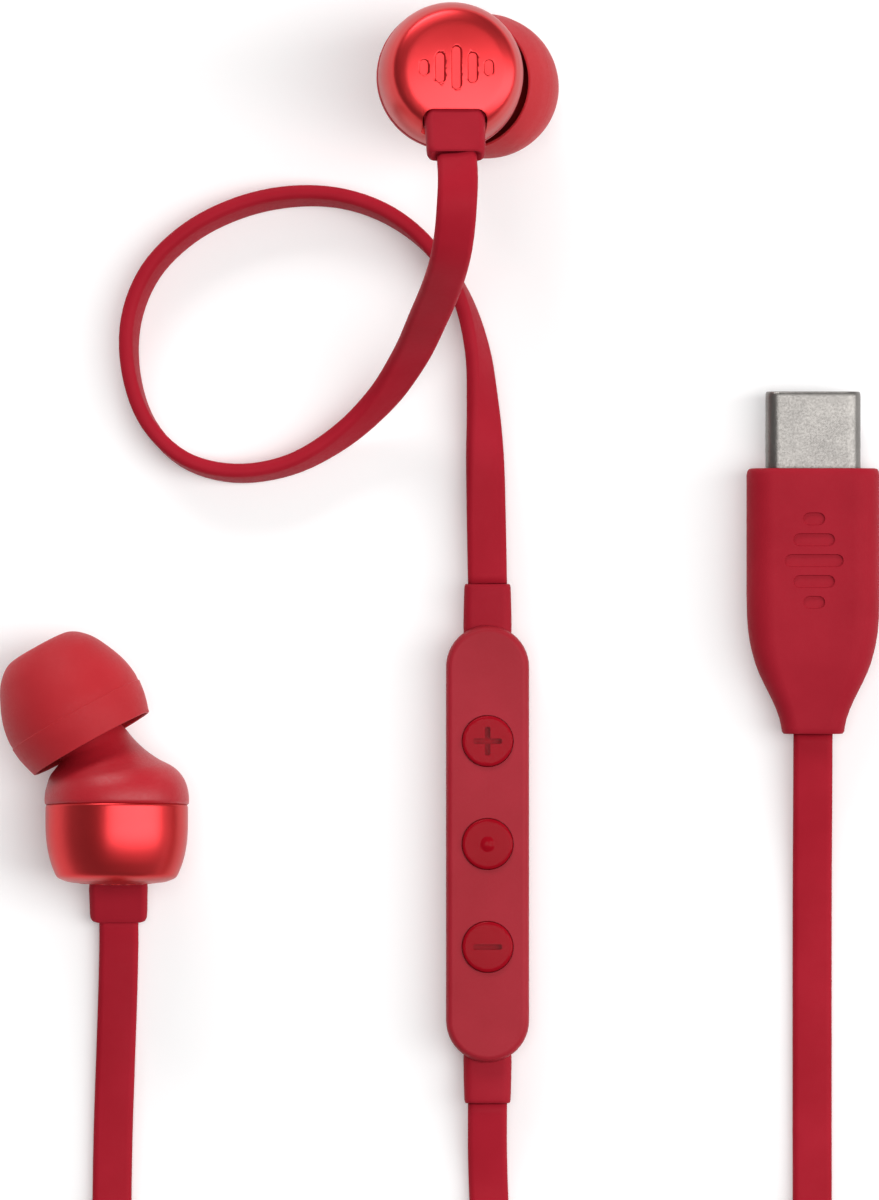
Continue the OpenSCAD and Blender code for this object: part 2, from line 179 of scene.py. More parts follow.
def carve(obj, cutters, edge=0.0, smooth_deg=35, operation="DIFFERENCE"):
    """Cuts the cutters' shapes out of obj, or joins them to it, and evens its shading.

    Sharp edges are rounded by edge millimetres.
    """
    for verts, faces in cutters:
        tool = build("cutter", verts, faces, None, body=None)
        modifier = obj.modifiers.new("cut", "BOOLEAN")
        modifier.operation = operation
        modifier.solver = "EXACT"
        modifier.object = tool
        evaluated(obj)
        bpy.data.objects.remove(tool)
    if edge:
        modifier = obj.modifiers.new("edge", "BEVEL")
        modifier.width = edge * MM
        modifier.segments = 3
        modifier.limit_method = "ANGLE"
        modifier.angle_limit = BEVEL_ANGLE
        modifier.use_clamp_overlap = True
        evaluated(obj)
    finish_normals(obj, smooth_deg)
    modifier = obj.modifiers.new("even", "WEIGHTED_NORMAL")
    modifier.mode = "FACE_AREA"
    modifier.weight = NORMAL_WEIGHT
    modifier.keep_sharp = True
    evaluated(obj)


def weld(obj):
    """Joins the points that lie on each other, where a skin meets itself."""
    bm = bmesh.new()
    bm.from_mesh(obj.data)
    bmesh.ops.remove_doubles(bm, verts=bm.verts, dist=1e-8)
    bmesh.ops.recalc_face_normals(bm, faces=bm.faces)
    bm.to_mesh(obj.data)
    bm.free()


def prism(outline, z0, z1):
    """An outline in XY, extruded from z0 to z1."""
    return skin([[(x, y, z) for x, y in outline] for z in (z0, z1)])


def put(obj, place):
    """Moves a mesh made round the origin to place, in millimetres, and turns it if mirrored."""
    obj.data.transform(Matrix.Scale(MM, 4) @ place @ Matrix.Scale(1 / MM, 4))
    if place.determinant() < 0:
        obj.data.flip_normals()
    carve(obj, [])


# ---------------------------------------------------------------- materials
NOISE_SPAN = (0.3, 0.7)
NOISE_ROUGHNESS = 0.55
BUMP_DEPTH = 0.00004
GLOW_RADIUS = (1.0, 0.25, 0.2)
GLOW_DEPTH = 0.0008


def nodes_of(material):
    """The node tree of material and its shader."""
    material.use_nodes = True
    tree = material.node_tree
    return tree, tree.nodes["Principled BSDF"]


def noise(tree, scale, detail=3.0, stretch=None):
    """Object-space noise with its features about 1/scale metres apart."""
    coords = tree.nodes.new("ShaderNodeTexCoord")
    source = coords.outputs["Object"]
    if stretch:
        mapping = tree.nodes.new("ShaderNodeMapping")
        mapping.inputs["Scale"].default_value = stretch
        tree.links.new(source, mapping.inputs["Vector"])
        source = mapping.outputs["Vector"]
    texture = tree.nodes.new("ShaderNodeTexNoise")
    texture.inputs["Scale"].default_value = scale
    texture.inputs["Detail"].default_value = detail
    texture.inputs["Roughness"].default_value = NOISE_ROUGHNESS
    tree.links.new(source, texture.inputs["Vector"])
    return texture.outputs["Fac"]


def finish(name, dark, light, rough, grain, bump, metallic=0.0, blotch=140, stretch=None,
           coat=0.0, coat_rough=0.1, specular=0.5, tint=(1, 1, 1), sheen=0.0, subsurface=0.0,
           detail=3.0):
    """A surface whose colour wanders between dark and light, and its roughness too.

    blotch and grain are the scales of the colour's and the roughness's noise, per metre.
    """
    material = bpy.data.materials.new(name)
    tree, shader = nodes_of(material)
    ramp = tree.nodes.new("ShaderNodeValToRGB")
    for stop, position, colour in zip(ramp.color_ramp.elements, NOISE_SPAN, (dark, light)):
        stop.position = position
        stop.color = (*colour, 1)
    tree.links.new(noise(tree, blotch, stretch=stretch), ramp.inputs["Fac"])
    tree.links.new(ramp.outputs["Color"], shader.inputs["Base Color"])
    spread = tree.nodes.new("ShaderNodeMapRange")
    spread.inputs["From Min"].default_value, spread.inputs["From Max"].default_value = NOISE_SPAN
    spread.inputs["To Min"].default_value, spread.inputs["To Max"].default_value = rough
    fine = noise(tree, grain, detail=detail, stretch=stretch)
    tree.links.new(fine, spread.inputs["Value"])
    tree.links.new(spread.outputs["Result"], shader.inputs["Roughness"])
    relief = tree.nodes.new("ShaderNodeBump")
    relief.inputs["Strength"].default_value = bump
    relief.inputs["Distance"].default_value = BUMP_DEPTH
    tree.links.new(fine, relief.inputs["Height"])
    tree.links.new(relief.outputs["Normal"], shader.inputs["Normal"])
    shader.inputs["Metallic"].default_value = metallic
    shader.inputs["Specular IOR Level"].default_value = specular
    shader.inputs["Specular Tint"].default_value = (*tint, 1)
    shader.inputs["Coat Weight"].default_value = coat
    shader.inputs["Coat Roughness"].default_value = coat_rough
    shader.inputs["Sheen Weight"].default_value = sheen
    if subsurface:
        shader.inputs["Subsurface Weight"].default_value = subsurface
        shader.inputs["Subsurface Radius"].default_value = GLOW_RADIUS
        shader.inputs["Subsurface Scale"].default_value = GLOW_DEPTH
    return material


CAP = finish("cap_metal", (0.62, 0.012, 0.016), (0.67, 0.016, 0.021), (0.35, 0.39), 9000, 0.03,
             metallic=1.0, coat=0.7, coat_rough=0.32, tint=(0.5, 0.07, 0.06))
SHELL = finish("shell_satin", (0.40, 0.008, 0.017), (0.45, 0.012, 0.022), (0.36, 0.50), 5200, 0.35,
               specular=0.4)
SILICONE = finish("silicone", (0.41, 0.016, 0.023), (0.47, 0.021, 0.029), (0.48, 0.62), 3800, 0.20,
                  subsurface=0.12, sheen=0.04, specular=0.16)
CORD = finish("cord_red", (0.330, 0.010, 0.021), (0.380, 0.013, 0.027), (0.44, 0.56), 2600, 0.22,
              specular=0.04)
RUBBER = finish("rubber_red", (0.305, 0.009, 0.020), (0.355, 0.013, 0.026), (0.50, 0.62), 4200,
                0.25, specular=0.07)
REMOTE = finish("remote_satin", (0.315, 0.012, 0.022), (0.360, 0.016, 0.029), (0.44, 0.54), 4800,
                0.22, specular=0.14)
BUTTON = finish("button_gloss", (0.27, 0.002, 0.008), (0.31, 0.004, 0.012), (0.16, 0.22), 2400,
                0.02, coat=0.05, coat_rough=0.08, specular=0.02)
STEEL = finish("usb_steel", (0.19, 0.180, 0.170), (0.24, 0.228, 0.214), (0.30, 0.46), 5200, 0.30,
               metallic=1.0, blotch=420, detail=6.0)
MESH_STEEL = finish("mesh_steel", (0.20, 0.20, 0.20), (0.45, 0.44, 0.43), (0.3, 0.5), 6000, 0.8,
                    metallic=1.0)
GRAPHITE = finish("driver_plastic", (0.018, 0.018, 0.020), (0.035, 0.035, 0.038), (0.4, 0.6), 3000,
                  0.3)
MAGNET = finish("magnet", (0.52, 0.52, 0.52), (0.66, 0.66, 0.66), (0.14, 0.3), 3000, 0.1,
                metallic=1.0)
FILM = finish("diaphragm_film", (0.55, 0.46, 0.27), (0.72, 0.63, 0.42), (0.12, 0.25), 1500, 0.2,
              coat=0.4)
COPPER = finish("copper_wire", (0.55, 0.22, 0.08), (0.75, 0.34, 0.14), (0.2, 0.35), 1200, 0.9,
                metallic=1.0, stretch=(1, 1, 8))
BOARD = finish("circuit_board", (0.012, 0.10, 0.045), (0.022, 0.15, 0.07), (0.25, 0.4), 1800, 0.4,
               coat=0.3)
CHIP = finish("chip_black", (0.012, 0.012, 0.013), (0.03, 0.03, 0.032), (0.5, 0.65), 5000, 0.4)
DOME = finish("dome_steel", (0.60, 0.60, 0.58), (0.72, 0.72, 0.70), (0.12, 0.22), 2500, 0.1,
              metallic=1.0)
CARRIER = finish("carrier_black", (0.012, 0.012, 0.014), (0.025, 0.025, 0.028), (0.35, 0.5), 3500,
                 0.3)
GOLD = finish("contact_gold", (0.72, 0.46, 0.13), (0.86, 0.60, 0.24), (0.15, 0.28), 3000, 0.15,
              metallic=1.0)
MOULD = finish("inner_mould_plastic", (0.03, 0.03, 0.034), (0.055, 0.055, 0.06), (0.4, 0.55), 2500,
               0.3)
TIE = finish("tie_black", (0.012, 0.012, 0.014), (0.028, 0.028, 0.032), (0.5, 0.7), 2600, 0.5,
             sheen=0.2)

# CAD nodes that stay as they are, inside each bud and elsewhere
BUD_INSIDE = {"nozzle_mesh": MESH_STEEL, "driver_frame": GRAPHITE, "driver_magnet": MAGNET,
              "diaphragm": FILM, "voice_coil": COPPER}
KEPT_NODES = {"remote_board": BOARD, "microphone": CHIP, "plus_dome": DOME, "multi_dome": DOME,
              "minus_dome": DOME, "contact_carrier": CARRIER, "contacts": GOLD,
              "inner_mould": MOULD, "converter_board": BOARD, "converter_chip": CHIP}

# ---------------------------------------------------------------- cords
CORD_W = 3.4
CORD_T = 1.25
CORD_DISH = 0.04
CORD_CORNER = 0.52
COIL_X = -2
COIL_Y = -80
LAYER_Z = (2.15, 5.6, 9.05)
TURN_STEPS = 24
# x, y, height of the middle, and roll in degrees, where 0 lies flat and 90 stands on edge
RIGHT_UPPER = [
    (-2.7, 58.7, 23.2, 0), (-2.6, 56.8, 24.3, 2), (-2.7, 54.4, 24.7, 4), (-2.9, 52.1, 23.8, 7),
    (-3.2, 50.3, 22.2, 10), (-3.9, 48, 18.2, 15), (-5.1, 45.3, 12.9, 22), (-6.8, 41.9, 7, 35),
    (-9.2, 38.5, 3.5, 52), (-12.8, 35.2, 2, 66), (-17.2, 32.8, 1.8, 76), (-22, 32.1, 1.8, 80),
    (-26.3, 33.3, 1.8, 86), (-29.4, 36.4, 1.8, 92), (-30.9, 40.7, 1.8, 98), (-30.9, 45.4, 1.8, 103),
    (-29.2, 49.6, 1.8, 105), (-25.9, 52.9, 1.8, 105), (-21.6, 55.1, 1.8, 105),
    (-17, 56.1, 1.8, 104), (-12.5, 55.9, 1.8, 101), (-8.4, 54.4, 1.8, 98),
    (-4.9, 51.6, 1.8, 90), (-2.3, 47.5, 1.8, 80), (-0.9, 42.9, 1.8, 66), (-0.4, 37.9, 1.7, 46),
    (-0.2, 33, 1.6, 20), (-0.1, 28, 1.9, 5), (0, 22.5, 2.3, 0)]
RIGHT_LOWER = [
    (0, -22.5, 2.3, 0), (0, -26.5, 1.4, 0), (0.1, -30.3, 0.8, 4), (0.3, -34.2, 1.3, 22),
    (0.5, -38.5, 1.8, 52), (0.5, -43, 2.4, 82), (-0.1, -47.6, 3.9, 90), (-1.5, -52.2, 5.3, 90),
    (-3.8, -56.4, 5.6, 90), (-7.2, -60.1, 5.6, 90), (-10.9, -63.4, 5.6, 90),
    (-14.5, -66.7, 5.6, 90)]
LEFT = [
    (-32, -6.6, 1.1, 0), (-32, -8.6, 0.8, 0), (-32.1, -13, 0.7, 0), (-32.3, -19, 0.7, 0),
    (-32.5, -25, 0.7, 0), (-32.6, -31, 0.8, 4), (-32.6, -36.5, 1.3, 25), (-32, -43, 1.8, 55),
    (-30.6, -49.5, 2.2, 80), (-28.2, -56, 3.3, 90), (-25.6, -62.5, 5.2, 90),
    (-23, -69, 7.1, 90), (-21.2, -74.5, 8.5, 90), (-20.7, -80, 9.05, 90)]
TRUNK = [
    (28.2, 9.5, 2.8, 0), (28.2, 3.5, 2.1, 0), (28.2, -3, 1.1, 0), (28.2, -10, 0.7, 0),
    (28.2, -17, 0.7, 0), (28.2, -24, 0.7, 0), (28.2, -31, 0.8, 5), (28.1, -38, 1.4, 30),
    (27.7, -45, 1.9, 60), (26.9, -52, 2.1, 85), (25.8, -59, 2.15, 90), (24.6, -66, 2.15, 90),
    (23.5, -73, 2.15, 90), (23, -80, 2.15, 90)]
# Counted from the coil's centre, from the splitter outwards
TRUNK_INNER = [(-6, 11.6, 2.15, 90), (-10.4, 10.8, 2.15, 90), (-13.8, 8.5, 2.15, 90)]
RIGHT_INNER = [
    (6, 12.3, 2.15, 90), (9.2, 11, 2.2, 90), (11.6, 8.1, 2.5, 90), (13.3, 4.3, 2.9, 90),
    (13.9, 0, 3.4, 90), (13.1, -4.8, 4, 90), (10.6, -9.2, 4.6, 90), (6.6, -12.4, 5.2, 90),
    (1.5, -14.7, 5.6, 90)]
LEFT_INNER = [
    (6, 10.9, 2.15, 90), (8.2, 9.8, 2.3, 90), (10.4, 7.3, 2.6, 90), (11.9, 3.9, 3.1, 90),
    (12.4, 0, 3.7, 90), (11.7, -4.2, 4.3, 90), (9.4, -8.1, 5, 90), (5.8, -11, 5.7, 90),
    (1.3, -12.4, 6.4, 90), (-3.5, -12, 7.1, 90), (-7.9, -10, 7.8, 90), (-11.2, -7.3, 8.5, 90),
    (-13, -5.4, 9.05, 90)]


def spiral(start, end, turns, layer):
    """Points of a flat spiral from start to end, both (angle in degrees, radius)."""
    count = max(2, round(abs(turns) * TURN_STEPS))
    out = []
    for k in range(1, count):
        f = k / count
        a = math.radians(start[0] + 360 * turns * f)
        r = start[1] + (end[1] - start[1]) * f
        out.append((COIL_X + r * math.cos(a), COIL_Y + r * math.sin(a), LAYER_Z[layer], 90))
    return out


def polar(point):
    """Angle in degrees and radius of a route's point, seen from the coil's centre."""
    dx, dy = point[0] - COIL_X, point[1] - COIL_Y
    return math.degrees(math.atan2(dy, dx)), math.hypot(dx, dy)


def inside(route):
    """A route counted from the coil's centre, in the frame's own places."""
    return [(COIL_X + x, COIL_Y + y, z, roll) for x, y, z, roll in route]


def coiled(lead, inner, whole_turns, sense, layer):
    """The lead, its turns and the stretch inside the ring, from the lead to the splitter."""
    inner = inside(inner)[::-1]
    start, end = polar(lead[-1]), polar(inner[0])
    turns = whole_turns + ((sense * (end[0] - start[0])) % 360) / 360
    return lead + spiral(start, end, sense * turns, layer) + inner


def flat_cord(name, route):
    """A flat cord with rounded edges and faintly dished faces, swept along the route."""
    path = spline(route, 0.8)
    outline = rounded(CORD_W, CORD_T, CORD_CORNER, arc=4)
    corner = len(outline) // 4
    outline.insert(3 * corner, (0, -CORD_T / 2 + CORD_DISH))
    outline.insert(corner, (0, CORD_T / 2 - CORD_DISH))
    rings = []
    for i, p in enumerate(path):
        here = Vector(p[:3])
        ahead = Vector(path[min(i + 1, len(path) - 1)][:3])
        behind = Vector(path[max(i - 1, 0)][:3])
        t = (ahead - behind).normalized()
        side = Vector((0, 0, 1)).cross(t).normalized()
        up = t.cross(side)
        roll = math.radians(p[3])
        wide = side * math.cos(roll) - up * math.sin(roll)
        thin = t.cross(wide)
        rings.append([tuple(here + wide * x + thin * y) for x, y in outline])
    verts, faces = skin(rings)
    obj = build(name, verts, faces, CORD, smooth_deg=180)
    centre = [tuple(v * MM for v in p[:3]) for p in path]
    length = sum(math.dist(a, b) for a, b in zip(centre, centre[1:]))
    return obj, centre, length


def make_cords():
    """Sweeps the four cords; each stands for its stretch and, where it has one, its coil."""
    routes = {
        "right_upper_cord": RIGHT_UPPER,
        "right_lower_cord": coiled(RIGHT_LOWER, RIGHT_INNER, 1, 1, 1),
        "left_cord": coiled(LEFT, LEFT_INNER, 3, 1, 2),
        "trunk_cord": [(x, y, z, -roll)
                       for x, y, z, roll in coiled(TRUNK, TRUNK_INNER, 5, -1, 0)[::-1]],
    }
    made = {}
    for name, route in routes.items():
        made[name] = flat_cord(name + "_cable", route)
    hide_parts("right_upper_cord")
    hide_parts("right_lower_cord", "right_coil")
    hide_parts("left_cord", "left_coil")
    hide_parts("trunk_cord", "trunk_coil")
    return made


cords = make_cords()


# ---------------------------------------------------------------- buds
LEFT_SEAT = (Matrix.Translation((-32, 3.5, 6.75)) @ Matrix.Rotation(math.radians(87), 4, "X")
             @ Matrix.Diagonal((-1, 1, 1, 1)))
RIGHT_SEAT = (Matrix.Translation((-3.3, 65.8, 15.1)) @ Matrix.Rotation(math.radians(4), 4, "Y")
              @ Matrix.Rotation(math.radians(-3), 4, "X"))
NOZZLE_TILT = math.radians(29)
ON_NOZZLE = Matrix.Translation((0, 0, -1.3)) @ Matrix.Rotation(math.pi - NOZZLE_TILT, 4, "Y")
FACE_Z = 7.0
FACE_DOME = 0.0156
FACE_R = 3.4
CAP_SIDES = 128
NOTCH_W, NOTCH_LEN, NOTCH_CORNER = 5.5, 6.4, 0.95
NOTCH_NEAR = 3.4
NOTCH_FLOOR = 4.3
FOOT_W, FOOT_NEAR, FOOT_FAR = 5.2, 3.45, 5.45
FOOT_Z = (4.32, 5.9)
RELIEF_NEAR = 3.5
RELIEF_SINK = 0.45
RELIEF_SHIFT = 0.95
NOZZLE_SIDES = 96
TIP_RIM = 4.5
BUD_MARK = {"half_w": 3.15, "half_h": 1.8, "bar_r": 0.35, "centre": (0.1, 0.1)}
# Generic mark: five bars of a sound wave, as (place, half length) in shares of its half size
WAVE = ((-0.88, 0.36), (-0.44, 0.7), (0.0, 1.0), (0.44, 0.7), (0.88, 0.36))


def capsule(x, half, r, arc=8):
    """Outline of an upright bar with round ends."""
    out = []
    for k in range(2 * arc + 2):
        upper = k <= arc
        a = math.pi * (k if upper else k - 1) / arc
        out.append((x + r * math.cos(a), (half if upper else -half) + r * math.sin(a)))
    return out


def wave_cutters(half_w, half_h, bar_r, centre, floor, place, turned=False):
    """Cutters for the mark's bars, from floor upwards."""
    out = []
    for at, half in WAVE:
        rings = []
        for z, grow in ((0, 0), (0.12, 0.02), (0.5, 0.17), (1.5, 0.17)):
            outline = capsule(at * half_w, half * half_h - bar_r, bar_r + grow)
            if turned:
                outline = [(-y, x) for x, y in outline]
            rings.append([tuple(place @ Vector((x + centre[0], y + centre[1], floor + z)))
                          for x, y in outline])
        out.append(skin(rings))
    return out


def dome_patch(radius, first, count=32):
    """The cap's domed middle: a square grid bent into a disc, whose rim has 4 * count points."""
    verts, faces = [], []
    for j in range(count + 1):
        for i in range(count + 1):
            u, v = 2 * i / count - 1, 2 * j / count - 1
            far = max(abs(u), abs(v))
            if far == 0:
                a = 0.0
            elif abs(u) >= abs(v):
                a = math.pi / 4 * v / u + (math.pi if u < 0 else 0)
            else:
                a = math.pi / 2 - math.pi / 4 * u / v + (math.pi if v < 0 else 0)
            r = radius * far
            verts.append((r * math.cos(a), r * math.sin(a), FACE_Z - FACE_DOME * r * r))
            if i < count and j < count:
                at = first + j * (count + 1) + i
                faces.append((at, at + 1, at + count + 2, at + count + 1))
    return verts, faces


def make_cap(side, place):
    """Front cap: a thin cup with a domed face, the notch for its relief and the mark."""
    outer = spline([(6.15, 0.26), (6.15, 1.2), (6.14, 2.2), (6.08, 3.1), (5.97, 3.9), (5.82, 4.6),
                    (5.63, 5.25), (5.44, 5.74), (5.33, 6.0), (5.25, 6.16), (5.16, 6.29),
                    (5.02, 6.4), (4.75, 6.53), (4.2, 6.71), (3.8, 6.775),
                    (FACE_R, FACE_Z - FACE_DOME * FACE_R ** 2)], 0.14)
    profile = [(1.2, 6.2), (3.9, 6.0), (4.8, 5.35), (5.25, 3.9), (5.35, 0.06), (5.95, 0.06),
               (6.09, 0.12)] + outer
    verts, faces = lathe(profile, CAP_SIDES, around=False)
    middle = dome_patch(FACE_R, len(verts))
    faces += [tuple(range(CAP_SIDES))] + middle[1]
    obj = build(f"{side}_cap", verts + middle[0], faces, CAP)
    weld(obj)
    notch = [(x, y - NOTCH_NEAR - NOTCH_LEN / 2)
             for x, y in rounded(NOTCH_W, NOTCH_LEN, NOTCH_CORNER, arc=10)]
    carve(obj, [prism(notch, NOTCH_FLOOR, FACE_Z + 2)], edge=0.06)
    carve(obj, wave_cutters(floor=FACE_Z - 0.30, place=Matrix.Identity(4), **BUD_MARK))
    put(obj, place)
    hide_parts(f"{side}_front_cap")


def ring_between(away, near):
    """A circle whose diameter runs between two points of the XZ plane, given as (x, z)."""
    cx, cz = (away[0] + near[0]) / 2, (away[1] + near[1]) / 2
    ux, uz = (near[0] - away[0]) / 2, (near[1] - away[1]) / 2
    r = math.hypot(ux, uz)
    return [(cx + ux * c, r * s, cz + uz * c) for c, s in circle(1, NOZZLE_SIDES)]


def make_shell(side, place):
    """Rear shell: a round shoulder, the tilted neck that it flares into, the barrel and its lip."""
    away = spline([(-6.05, 0.1), (-6.2, -0.02), (-6.22, -0.75), (-6.0, -1.76), (-5.6, -2.5),
                   (-4.9, -3.2), (-3.6, -3.9), (-2.45, -4.7), (-1.5, -5.6), (-0.75, -6.5)], 0.25)
    near = spline([(6.05, 0.1), (6.2, -0.02), (6.22, -0.75), (6.0, -1.76), (5.72, -2.5),
                   (5.3, -3.05), (5.03, -3.4), (4.93, -3.55), (4.89, -3.66), (4.87, -3.75)], 0.1)
    rings = []
    for i, p in enumerate(away):
        q = near[round(i * (len(near) - 1) / (len(away) - 1))]
        rings.append(ring_between(p, q))
    along = [(3.0, 4.9), (2.45, 5.3), (2.35, 5.8), (2.35, 9.15), (2.5, 9.25), (2.69, 9.4),
             (2.69, 9.8), (2.6, 10.0), (2.35, 10.19), (2.1, 10.2), (2.05, 10.12), (2.05, 9.98),
             (1.7, 9.98), (1.7, 4.0)]
    for r, z in along:
        rings.append([tuple(ON_NOZZLE @ Vector((-x, y, z))) for x, y in circle(r, NOZZLE_SIDES)])
    for r, z in ((3.4, -2.0), (4.6, -0.8), (4.9, 0.9), (5.3, 1.0), (5.3, 0.1)):
        rings.append([(x, y, z) for x, y in circle(r, NOZZLE_SIDES)])
    rings.append(rings[0])
    verts, faces = skin(rings, caps=(False, False))
    obj = build(f"{side}_shell", verts, faces, SHELL, place=place, smooth_deg=40)
    weld(obj)
    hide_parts(f"{side}_nozzle_shell")


def make_tip(side, place):
    """Ear tip, as radius and distance from its rim along the nozzle."""
    outer = spline([(5.66, 0.0), (5.9, 0.8), (6.12, 1.7), (6.22, 2.5), (6.25, 2.78), (6.19, 2.84),
                    (6.2, 3.4), (6.12, 4.2), (5.95, 5.0), (5.68, 5.8), (5.25, 6.8), (4.7, 7.85),
                    (4.1, 8.6), (3.45, 9.15), (2.9, 9.42), (2.5, 9.5)], 0.2)
    inner = [(2.2, 9.42), (1.95, 9.2), (1.9, 8.9), (1.9, 5.9), (2.72, 5.9), (2.72, 1.1),
             (2.9, 1.1), (3.35, 1.1)] + spline(
                 [(3.4, 1.2), (3.45, 5.6), (3.8, 6.55), (4.3, 6.55), (4.8, 5.9), (5.25, 4.9),
                  (5.6, 3.7), (5.78, 2.5), (5.66, 1.2), (5.42, 0.08)], 0.3)
    rim = [(5.48, -0.02), (5.6, -0.03)]
    profile = [(r, a + TIP_RIM) for r, a in outer + inner + rim]
    verts, faces = lathe(profile, 96)
    obj = build(f"{side}_tip", verts, faces, SILICONE, body=f"{side}_ear_tip",
                place=place @ ON_NOZZLE, smooth_deg=40)
    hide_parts(f"{side}_ear_tip")


def notch_foot(steps=10):
    """Outline that fills the cap's notch: straight towards the middle, round along the wall."""
    half_w = FOOT_W / 2
    end = math.asin(half_w / FOOT_FAR)
    arc = [-end + 2 * end * k / steps for k in range(steps + 1)]
    wall = [(FOOT_FAR * math.sin(a), -FOOT_FAR * math.cos(a)) for a in arc]
    return wall + [(half_w, -FOOT_NEAR), (-half_w, -FOOT_NEAR)]


def make_relief(side, place, angle):
    """Flat rubber sleeve that rises out of the cap's notch at angle above the face's plane."""
    lean = math.radians(90 - angle)
    seat = (Matrix.Translation((0, -RELIEF_NEAR, FACE_Z - RELIEF_SINK))
            @ Matrix.Rotation(lean, 4, "X"))
    rows = [(-1.8, 4.1, 1.8), (-0.9, 4.25, 1.9), (-0.4, 4.5, 1.9), (0.1, 4.85, 1.9),
            (0.6, 5.03, 1.9), (1.2, 5.08, 1.9), (2.4, 5.02, 1.9),
            (3.4, 4.98, 1.88), (3.75, 4.9, 1.84), (4.0, 4.68, 1.7), (4.1, 4.3, 1.45),
            (4.06, 3.8, 1.38), (3.8, 3.5, 1.3)]
    rings = []
    for z, w, t in rows:
        outline = rounded(w, t, 0.6 if t > 1.5 else 0.5)
        rings.append([tuple(seat @ Vector((x, y - RELIEF_SHIFT, z))) for x, y in outline])
    verts, faces = skin(rings)
    obj = build(f"{side}_relief", verts, faces, RUBBER)
    carve(obj, [prism(notch_foot(), *FOOT_Z)], operation="UNION")
    put(obj, place)
    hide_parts(f"{side}_strain_relief")


def make_bud(side, place, relief_angle):
    make_cap(side, place)
    make_shell(side, place)
    make_tip(side, place)
    make_relief(side, place, relief_angle)
    for part, material in BUD_INSIDE.items():
        paint(f"{side}_{part}", material)


def paint(node, material):
    """Gives a CAD node its material."""
    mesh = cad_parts[node].data
    mesh.materials.clear()
    mesh.materials.append(material)


make_bud("left", LEFT_SEAT, 64)
make_bud("right", RIGHT_SEAT, 30)

# ---------------------------------------------------------------- remote
REMOTE_W = 7.2
REMOTE_LEN = 37.8
REMOTE_H = 4.6
REMOTE_SPLIT = 2.3
WALL = 0.8
BUTTON_PITCH = 8.9
BUTTON_TOP = 4.9
WELL_R = 2.25
PORT_R = 0.4
PORT_Y = -13
SIGN_LEN, SIGN_W, SIGN_CORNER = 2.45, 0.46, 0.15


def pill(inset, z, count=24):
    """Outline of the remote, drawn in by inset, at height z."""
    r = REMOTE_W / 2 - inset
    run = REMOTE_LEN / 2 - REMOTE_W / 2
    out = []
    for end in (1, -1):
        for k in range(count + 1):
            a = math.pi * k / count + (0 if end > 0 else math.pi)
            out.append((r * math.cos(a), end * run + r * math.sin(a), z))
    return out


def relief_slots():
    """Cutters for the two openings that the strain reliefs pass through."""
    out = []
    for end in (1, -1):
        y0, y1 = end * (REMOTE_LEN / 2 - 1.6), end * (REMOTE_LEN / 2 + 2)
        rings = [[(x, y, REMOTE_SPLIT + z) for x, z in rounded(4.2, 2.4, 0.8)]
                 for y in (y0, y1)]
        out.append(skin(rings))
    return out


def make_covers():
    """Front cover with its three wells, and back cover with the microphone's port."""
    front = [(0.1, 2.32), (0.0, 2.42), (0.0, 3.75), (0.03, 4.05), (0.11, 4.28), (0.24, 4.46),
             (0.4, 4.56), (0.6, REMOTE_H)]
    verts, faces = skin([pill(i, z) for i, z in front])
    cover = build("remote_cover_front", verts, faces, REMOTE, smooth_deg=30)
    cutters = [skin([pill(WALL, 2.0), pill(WALL, REMOTE_H - WALL)])]
    for i in (-1, 0, 1):
        well = [(x, i * BUTTON_PITCH + y) for x, y in circle(WELL_R, 64)]
        cutters.append(prism(well, 3, 6))
    cutters += relief_slots()
    carve(cover, cutters, edge=0.06, smooth_deg=30)
    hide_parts("remote_front_cover")

    back = [(0.9, 0.0), (0.62, 0.03), (0.34, 0.16), (0.13, 0.4), (0.02, 0.75), (0.0, 1.1),
            (0.0, 2.18), (0.1, 2.28)]
    verts, faces = skin([pill(i, z) for i, z in back])
    cover = build("remote_cover_back", verts, faces, REMOTE, smooth_deg=30)
    port = [(x, PORT_Y + y) for x, y in circle(PORT_R, 24)]
    cutters = [skin([pill(WALL, 0.8), pill(WALL, 3)]), prism(port, -1, 1.2)] + relief_slots()
    carve(cover, cutters, edge=0.05, smooth_deg=30)
    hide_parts("remote_back_cover")


def make_button(name, y, dot):
    """A key with its stem, a rounded rim and its sign: a plus, a minus or a raised dot."""
    top = BUTTON_TOP
    crown = [(2.2, 4.5), (2.2, 4.7), (2.18, 4.78), (2.12, 4.84), (2.03, 4.88), (1.9, 4.895),
             (1.7, top)]
    if dot:
        crown += [(0.72, top), (0.66, top), (0.58, 4.92), (0.46, 4.97), (0.3, 5.01),
                  (0.14, 5.03), (0, 5.035)]
    else:
        crown += [(0.05, top), (0, top)]
    stem = [(0, 2.54), (0.56, 2.54), (0.6, 2.6), (0.6, 3.37), (2.44, 3.37), (2.5, 3.43),
            (2.5, 3.66), (2.44, 3.72), (2.2, 3.72)]
    verts, faces = lathe(stem + crown)
    verts = [(x, v + y, z) for x, v, z in verts]
    obj = build(f"{name}_key", verts, faces, BUTTON, body=name, smooth_deg=45)
    bars = []
    if name != "multi_button":
        bars.append(rounded(SIGN_LEN, SIGN_W, SIGN_CORNER))
    if name == "plus_button":
        bars.append(rounded(SIGN_W, SIGN_LEN, SIGN_CORNER))
    cutters = [prism([(a, b + y) for a, b in bar], top - 0.5, top + 0.5) for bar in bars]
    carve(obj, cutters, smooth_deg=45)
    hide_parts(name)


